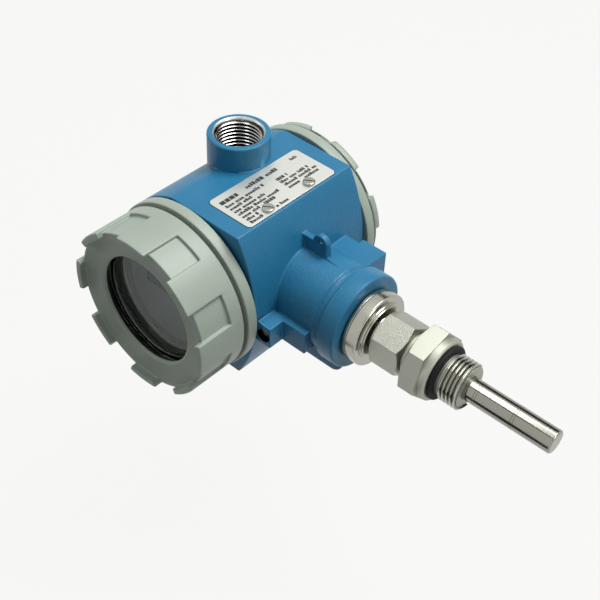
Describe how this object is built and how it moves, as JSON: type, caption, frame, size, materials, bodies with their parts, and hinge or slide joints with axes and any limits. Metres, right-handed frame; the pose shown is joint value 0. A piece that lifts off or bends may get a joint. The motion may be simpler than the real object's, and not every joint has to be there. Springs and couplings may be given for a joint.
{
  "type": "thermal flow switch",
  "caption": "Thermal flow switch with a two-compartment blue die-cast housing, window cap, blind cap, conduit entry and a steel probe in a threaded compression fitting.",
  "frame": {"origin": "on the probe axis where the full process thread begins", "axes": "+X along the probe towards its tip, +Z along the conduit entry, the window cap faces -Y"},
  "size_m": [0.2054, 0.1138, 0.0905],
  "materials": {
    "blue_paint": "semi-gloss powder paint over die-cast aluminium",
    "cap_paint": "grey-green powder paint over die-cast aluminium",
    "turned_steel": "turned stainless steel",
    "bright_steel": "bright stainless steel",
    "plate_metal": "satin metal plate",
    "black_rubber": "black seal rubber",
    "window_glass": "clear toughened glass",
    "ceramic_core": "ceramic sensing element",
    "potting": "cast filling",
    "board_green": "glass-fibre circuit board",
    "dark_plastic": "black moulded plastic",
    "brass_parts": "plain brass"
  },
  "bodies": {
    "instrument": {"housing": "blue_paint", "neck_screw": "bright_steel", "nameplate": "plate_metal", "nameplate_screws": "bright_steel", "adapter_seal": "black_rubber", "neck_adapter": "turned_steel", "front_ferrule": "turned_steel", "process_fitting": "turned_steel", "seal_ring": "black_rubber", "probe_tube": "turned_steel", "heater_element": "ceramic_core", "sensor_element": "ceramic_core", "tip_filling": "potting", "main_board": "board_green", "display_board": "board_green", "board_posts": "brass_parts", "bezel_plate": "dark_plastic", "display_module": "dark_plastic", "board_screws": "bright_steel", "relay": "dark_plastic", "feedthrough": "potting", "terminal_block": "dark_plastic", "terminal_screws": "bright_steel", "earth_screw": "brass_parts"},
    "front_seal": {"front_cap_ring": "black_rubber"},
    "front_cover": {"front_cap": "cap_paint", "window_gasket": "black_rubber", "window_glass": "window_glass", "window_retainer": "bright_steel"},
    "rear_seal": {"rear_cap_ring": "black_rubber"},
    "rear_cover": {"rear_cap": "cap_paint"},
    "ferrule": {"back_ferrule": "turned_steel"},
    "nut": {"compression_nut": "turned_steel"},
    "front_lock": {"front_lock_screw": "bright_steel"},
    "outer_earth": {"outer_earth_screw": "bright_steel"}
  },
  "joints": [
    {"name": "front_cap_travel", "type": "slide", "parent": "instrument", "child": "front_seal", "axis": [0, -1, 0], "range_m": [0, 0.01001]},
    {"name": "front_cap_turn", "type": "hinge", "parent": "front_seal", "child": "front_cover", "pos_m": [-0.1163, -0.0466, 0], "axis": [0, -1, 0], "range_deg": [0, 1800]},
    {"name": "rear_cap_travel", "type": "slide", "parent": "instrument", "child": "rear_seal", "axis": [0, 1, 0], "range_m": [0, 0.01001]},
    {"name": "rear_cap_turn", "type": "hinge", "parent": "rear_seal", "child": "rear_cover", "pos_m": [-0.1163, 0.0454, 0], "axis": [0, 1, 0], "range_deg": [0, 1800]},
    {"name": "nut_travel", "type": "slide", "parent": "instrument", "child": "ferrule", "axis": [1, 0, 0], "range_m": [-0.00075, 0.00005]},
    {"name": "nut_turn", "type": "hinge", "parent": "ferrule", "child": "nut", "pos_m": [-0.0263, 0, 0], "axis": [1, 0, 0], "range_deg": [-168, 0]},
    {"name": "front_lock_turn", "type": "hinge", "parent": "instrument", "child": "front_lock", "pos_m": [-0.0749, -0.0306, -0.0066], "axis": [0, -1, 0], "range_deg": [-360, 360]},
    {"name": "outer_earth_turn", "type": "hinge", "parent": "instrument", "child": "outer_earth", "pos_m": [-0.0652, 0.0297, 0.005], "axis": [0, 1, 0], "range_deg": [-360, 360]}
  ],
  "couplings": [
    {"joint": "front_cap_travel", "follows": "front_cap_turn", "m_per_rad": 0.00031831},
    {"joint": "rear_cap_travel", "follows": "rear_cap_turn", "m_per_rad": 0.00031831},
    {"joint": "nut_travel", "follows": "nut_turn", "m_per_rad": 0.00023873}
  ]
}
